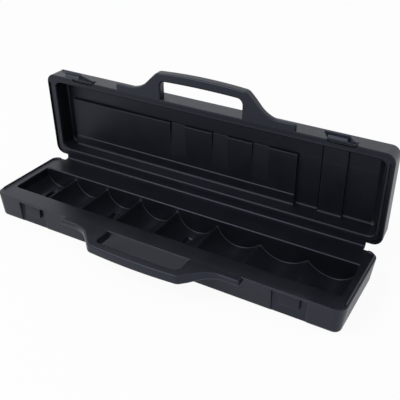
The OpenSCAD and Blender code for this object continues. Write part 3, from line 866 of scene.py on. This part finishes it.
SHEEN = (0.68, 0.77, 1.0, 1)


class Nodes:
    """Short way to build a material's nodes."""

    def __init__(self, name):
        self.material = bpy.data.materials.new(name)
        self.material.use_nodes = True
        self.tree = self.material.node_tree
        self.shader = self.tree.nodes["Principled BSDF"]

    def add(self, kind, values=None, **settings):
        node = self.tree.nodes.new(kind)
        for key, value in settings.items():
            setattr(node, key, value)
        for key, value in (values or {}).items():
            if isinstance(value, bpy.types.NodeSocket):
                self.tree.links.new(value, node.inputs[key])
            else:
                node.inputs[key].default_value = value
        return node

    def link(self, output, socket):
        self.tree.links.new(output, self.shader.inputs[socket])


def moulded_plastic(name, colour, roughness, grain, specular):
    """Matt moulded plastic: a fine grain, cloudy gloss, hairline scuffs and worn edges."""
    n = Nodes(name)
    where = n.add("ShaderNodeTexCoord").outputs["Object"]
    clouds = n.add("ShaderNodeTexNoise", {"Vector": where, "Scale": 24.0, "Detail": 5.0, "Roughness": 0.6})
    fine = n.add("ShaderNodeTexNoise", {"Vector": where, "Scale": 1400.0, "Detail": 2.0, "Roughness": 0.55})
    pits = n.add("ShaderNodeTexVoronoi", {"Vector": where, "Scale": 900.0})
    stretched = n.add(
        "ShaderNodeMapping", {"Vector": where, "Scale": (40.0, 900.0, 900.0), "Rotation": (0.1, 0.3, 0.5)}
    )
    scuffs = n.add("ShaderNodeTexNoise", {"Vector": stretched.outputs["Vector"], "Scale": 1.0, "Detail": 3.0})
    scuff_mask = n.add(
        "ShaderNodeMapRange", {"Value": scuffs.outputs["Fac"], "From Min": 0.66, "From Max": 0.74}
    )
    geometry = n.add("ShaderNodeNewGeometry")
    round_normal = n.add("ShaderNodeBevel", {"Radius": 0.0016}, samples=6)
    edge = n.add(
        "ShaderNodeVectorMath",
        {0: round_normal.outputs["Normal"], 1: geometry.outputs["Normal"]},
        operation="DOT_PRODUCT",
    )
    edge_mask = n.add(
        "ShaderNodeMapRange", {"Value": edge.outputs["Value"], "From Min": 0.995, "From Max": 0.90}
    )
    wear = n.add(
        "ShaderNodeMath", {0: edge_mask.outputs["Result"], 1: clouds.outputs["Fac"]}, operation="MULTIPLY"
    )
    dark = [c * 0.86 for c in colour]
    light = [c * 1.14 for c in colour]
    base = n.add("ShaderNodeValToRGB", {"Fac": clouds.outputs["Fac"]})
    ramp = base.color_ramp
    ramp.elements[0].position = 0.35
    ramp.elements[0].color = (*dark, 1)
    ramp.elements[1].position = 0.65
    ramp.elements[1].color = (*light, 1)
    pale = [min(1.0, c * 1.9 + 0.006) for c in colour]
    worn = n.add(
        "ShaderNodeMixRGB",
        {"Fac": wear.outputs["Value"], "Color1": base.outputs["Color"], "Color2": (*pale, 1)},
    )
    n.link(worn.outputs["Color"], "Base Color")
    gloss_range = {"From Min": 0.3, "From Max": 0.7, "To Min": roughness - 0.04, "To Max": roughness + 0.05}
    gloss = n.add("ShaderNodeMapRange", {"Value": clouds.outputs["Fac"], **gloss_range})
    scuffed = n.add(
        "ShaderNodeMath",
        {0: scuff_mask.outputs["Result"], 1: 0.06, 2: gloss.outputs["Result"]},
        operation="MULTIPLY_ADD",
    )
    n.link(scuffed.outputs["Value"], "Roughness")
    height = n.add(
        "ShaderNodeMath",
        {0: pits.outputs["Distance"], 1: 0.6, 2: fine.outputs["Fac"]},
        operation="MULTIPLY_ADD",
    )
    bump = n.add("ShaderNodeBump", {"Height": height.outputs["Value"], "Strength": grain, "Distance": 0.0001})
    n.link(bump.outputs["Normal"], "Normal")
    n.shader.inputs["Specular IOR Level"].default_value = specular
    n.shader.inputs["Specular Tint"].default_value = SHEEN
    return n.material


def pin_metal(name):
    """Drawn steel wire with fine lines along it."""
    n = Nodes(name)
    where = n.add("ShaderNodeTexCoord").outputs["Object"]
    drawn = n.add("ShaderNodeMapping", {"Vector": where, "Scale": (60.0, 4000.0, 4000.0)})
    lines = n.add("ShaderNodeTexNoise", {"Vector": drawn.outputs["Vector"], "Scale": 1.0, "Detail": 3.0})
    shade = n.add("ShaderNodeValToRGB", {"Fac": lines.outputs["Fac"]})
    shade.color_ramp.elements[0].color = (0.42, 0.42, 0.43, 1)
    shade.color_ramp.elements[1].color = (0.66, 0.66, 0.67, 1)
    n.link(shade.outputs["Color"], "Base Color")
    gloss = n.add("ShaderNodeMapRange", {"Value": lines.outputs["Fac"], "To Min": 0.28, "To Max": 0.45})
    n.link(gloss.outputs["Result"], "Roughness")
    bump = n.add("ShaderNodeBump", {"Height": lines.outputs["Fac"], "Strength": 0.2, "Distance": 0.00005})
    n.link(bump.outputs["Normal"], "Normal")
    n.shader.inputs["Metallic"].default_value = 1.0
    return n.material


case_plastic = moulded_plastic("case_plastic", (0.0060, 0.0065, 0.0090), 0.33, 0.22, 0.48)
# The lid's lining is the case plastic made a little darker, as painted shade inside the lid's hollow; it is
# also a little less glossy.
shaded_lining_plastic = moulded_plastic("shaded_lining_plastic", (0.0055, 0.0059, 0.0082), 0.38, 0.25, 0.36)
latch_plastic = moulded_plastic("latch_plastic", (0.015, 0.018, 0.023), 0.38, 0.12, 0.52)
steel = pin_metal("pin_steel")

# ---------------------------------------------------------------- pieces

wall = new_piece("base_wall", base_wall(), "base", case_plastic)
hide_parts("base_outer_shell")

tray_mesh = base_tray()
face_up(tray_mesh, (0, 0, 1))
tray = new_piece("base_tray", tray_mesh, "base", case_plastic, outward=False)
add_skin(tray)
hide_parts("base_inner_tray")

for side, tag in ((-1, "left"), (1, "right")):
    new_piece(f"end_lip_{tag}", end_lip(side), "base", case_plastic)

to_rim = Matrix.Translation((0, 0, BASE_H))
handle_low = new_piece("base_handle", handle_half(), "base", case_plastic, to_rim)
add_bevel(handle_low, HANDLE_BEVEL, segments=4)
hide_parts("base_handle_half")

lid_outside = new_piece("lid_wall", lid_wall(), "lid", case_plastic, lid_swing())
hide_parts("lid_outer_shell")

lining_mesh = lid_lining()
face_up(lining_mesh, (0, 0, -1))
lining = new_piece(
    "lid_lining", lining_mesh, "lid", shaded_lining_plastic, lid_swing(), outward=False
)
add_skin(lining)
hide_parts("lid_inner_panel")

flip = Matrix.Translation((0, 0, BASE_H + RIM_GAP)) @ Matrix.Diagonal((1, 1, -1, 1))
lid_half = handle_half()
for vert in lid_half.verts:
    if vert.co.z < HANDLE_UNDERSIDE:
        vert.co.z += RIM_GAP
handle_high = new_piece("lid_handle", lid_half, "lid", case_plastic, lid_swing() @ flip)
add_bevel(handle_high, HANDLE_BEVEL, segments=4)
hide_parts("lid_handle_half")

for side, tag in ((-1, "left"), (1, "right")):
    to_bay = Matrix.Translation((side * LATCH_X, 0, 0))
    catch = new_piece(f"catch_block_{tag}", catch_block(), "base", case_plastic, to_bay)
    add_bevel(catch, 1.0)
    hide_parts(f"catch_{tag}")
    body = f"{tag}_latch"
    open_place = latch_place(side)
    shut_place = latch_place(side, swung=False)
    plate = new_piece(
        f"latch_plate_{tag}", latch_plate(), body, latch_plastic, open_place
    )
    add_bevel(plate, 0.6, segments=2, angle=40)
    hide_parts(f"latch_{tag}")
    hook = new_piece(f"latch_hook_{tag}", latch_hook(), body, latch_plastic, open_place)
    add_bevel(hook, 0.5, segments=2)
    for way in (-1, 1):
        end = "outer" if way == side else "inner"
        rib_mesh = latch_rib(way * (LATCH_W - RIB_W) / 2)
        rib = new_piece(f"latch_rib_{tag}_{end}", rib_mesh, body, latch_plastic, open_place)
        add_bevel(rib, 0.3, segments=2)
        lug_mesh = pin_lug(way * (LID_BAY_HALF - LUG_W / 2))
        lug = new_piece(f"pin_lug_{tag}_{end}", lug_mesh, "lid", case_plastic, shut_place)
        add_bevel(lug, 0.5, segments=2)
    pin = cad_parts[f"latch_pin_{tag}"]
    pin.data.materials.clear()
    pin.data.materials.append(steel)

strip, fold_start, fold_end = fold_strip()
fold = new_piece("hinge_strip", strip, None, case_plastic)
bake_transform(fold)
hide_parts("hinge_leaf_base", "hinge_fold", "hinge_leaf_lid")

# Large faces set the normals round them, so that flat faces look flat
for piece in pieces:
    piece.modifiers.new("even_normals", "WEIGHTED_NORMAL").keep_sharp = True

# ---------------------------------------------------------------- studio


LAMP_TARGET = (0, 0, 0.06)
FLOOR_SIZE = 30.0


def backdrop_share(tree, seen, reflected):
    """Share of plain white in a mix: seen for what the camera sees, reflected for glossy faces, else 0."""
    path = tree.nodes.new("ShaderNodeLightPath")
    total = None
    for ray, value in (("Is Camera Ray", seen), ("Is Transmission Ray", seen), ("Is Glossy Ray", reflected)):
        step = tree.nodes.new("ShaderNodeMath")
        step.operation = "MULTIPLY_ADD"
        tree.links.new(path.outputs[ray], step.inputs[0])
        step.inputs[1].default_value = value
        step.inputs[2].default_value = 0.0
        if total is not None:
            tree.links.new(total, step.inputs[2])
        total = step.outputs["Value"]
    return total


def make_floor():
    """White floor that takes the case's shadow and looks as bright as the room."""
    size = FLOOR_SIZE
    corners = [(-size, -size, 0), (size, -size, 0), (size, size, 0), (-size, size, 0)]
    mesh = bpy.data.meshes.new("floor")
    mesh.from_pydata(corners, [], [(0, 1, 2, 3)])
    floor = bpy.data.objects.new("floor", mesh)
    bpy.context.scene.collection.objects.link(floor)
    material = bpy.data.materials.new("floor_white")
    material.use_nodes = True
    tree = material.node_tree
    tree.nodes.clear()
    out = tree.nodes.new("ShaderNodeOutputMaterial")
    matt = tree.nodes.new("ShaderNodeBsdfDiffuse")
    matt.inputs["Color"].default_value = (0.88, 0.88, 0.88, 1)
    glow = tree.nodes.new("ShaderNodeEmission")
    glow.inputs["Color"].default_value = (1, 1, 1, 1)
    mix = tree.nodes.new("ShaderNodeMixShader")
    tree.links.new(backdrop_share(tree, 0.93, 0.5), mix.inputs["Fac"])
    tree.links.new(matt.outputs["BSDF"], mix.inputs[1])
    tree.links.new(glow.outputs["Emission"], mix.inputs[2])
    tree.links.new(mix.outputs["Shader"], out.inputs["Surface"])
    mesh.materials.append(material)


def make_world():
    """Plain white room, a little softer as a light than as a backdrop."""
    world = bpy.data.worlds.new("studio")
    world.use_nodes = True
    tree = world.node_tree
    tree.nodes.clear()
    out = tree.nodes.new("ShaderNodeOutputWorld")
    soft = tree.nodes.new("ShaderNodeBackground")
    soft.inputs["Color"].default_value = (0.97, 0.98, 1.0, 1)
    soft.inputs["Strength"].default_value = 0.7
    white = tree.nodes.new("ShaderNodeBackground")
    white.inputs["Color"].default_value = (1, 1, 1, 1)
    mix = tree.nodes.new("ShaderNodeMixShader")
    tree.links.new(backdrop_share(tree, 1.0, 0.85), mix.inputs["Fac"])
    tree.links.new(soft.outputs["Background"], mix.inputs[1])
    tree.links.new(white.outputs["Background"], mix.inputs[2])
    tree.links.new(mix.outputs["Shader"], out.inputs["Surface"])
    bpy.context.scene.world = world


def make_lamp(name, place, size, power):
    """Area lamp aimed at the case."""
    light = bpy.data.lights.new(name, "AREA")
    light.shape = "RECTANGLE"
    light.size, light.size_y = size
    light.energy = power
    lamp = bpy.data.objects.new(name, light)
    lamp.location = place
    towards = Vector(LAMP_TARGET) - Vector(place)
    lamp.rotation_euler = towards.to_track_quat("-Z", "Y").to_euler()
    bpy.context.scene.collection.objects.link(lamp)


def make_camera():
    """Camera fitted to the photograph."""
    camera = bpy.data.cameras.new("camera")
    camera.sensor_width = 36.0
    camera.lens = 58.71
    camera.clip_start = 0.01
    eye = bpy.data.objects.new("camera", camera)
    place = (0.3899, -0.6309, 0.5099)
    azimuth, elevation, roll = radians(29.07), radians(30.69), radians(0.93)
    turn = Matrix.Rotation(azimuth, 4, "Z") @ Matrix.Rotation(pi / 2 - elevation, 4, "X")
    eye.matrix_world = Matrix.Translation(place) @ turn @ Matrix.Rotation(roll, 4, "Z")
    bpy.context.scene.collection.objects.link(eye)
    bpy.context.scene.camera = eye


make_floor()
make_world()
make_lamp("key", place=(-0.7, -0.85, 1.35), size=(0.9, 0.65), power=9.0)
make_camera()
bpy.context.scene.view_settings.view_transform = "Standard"
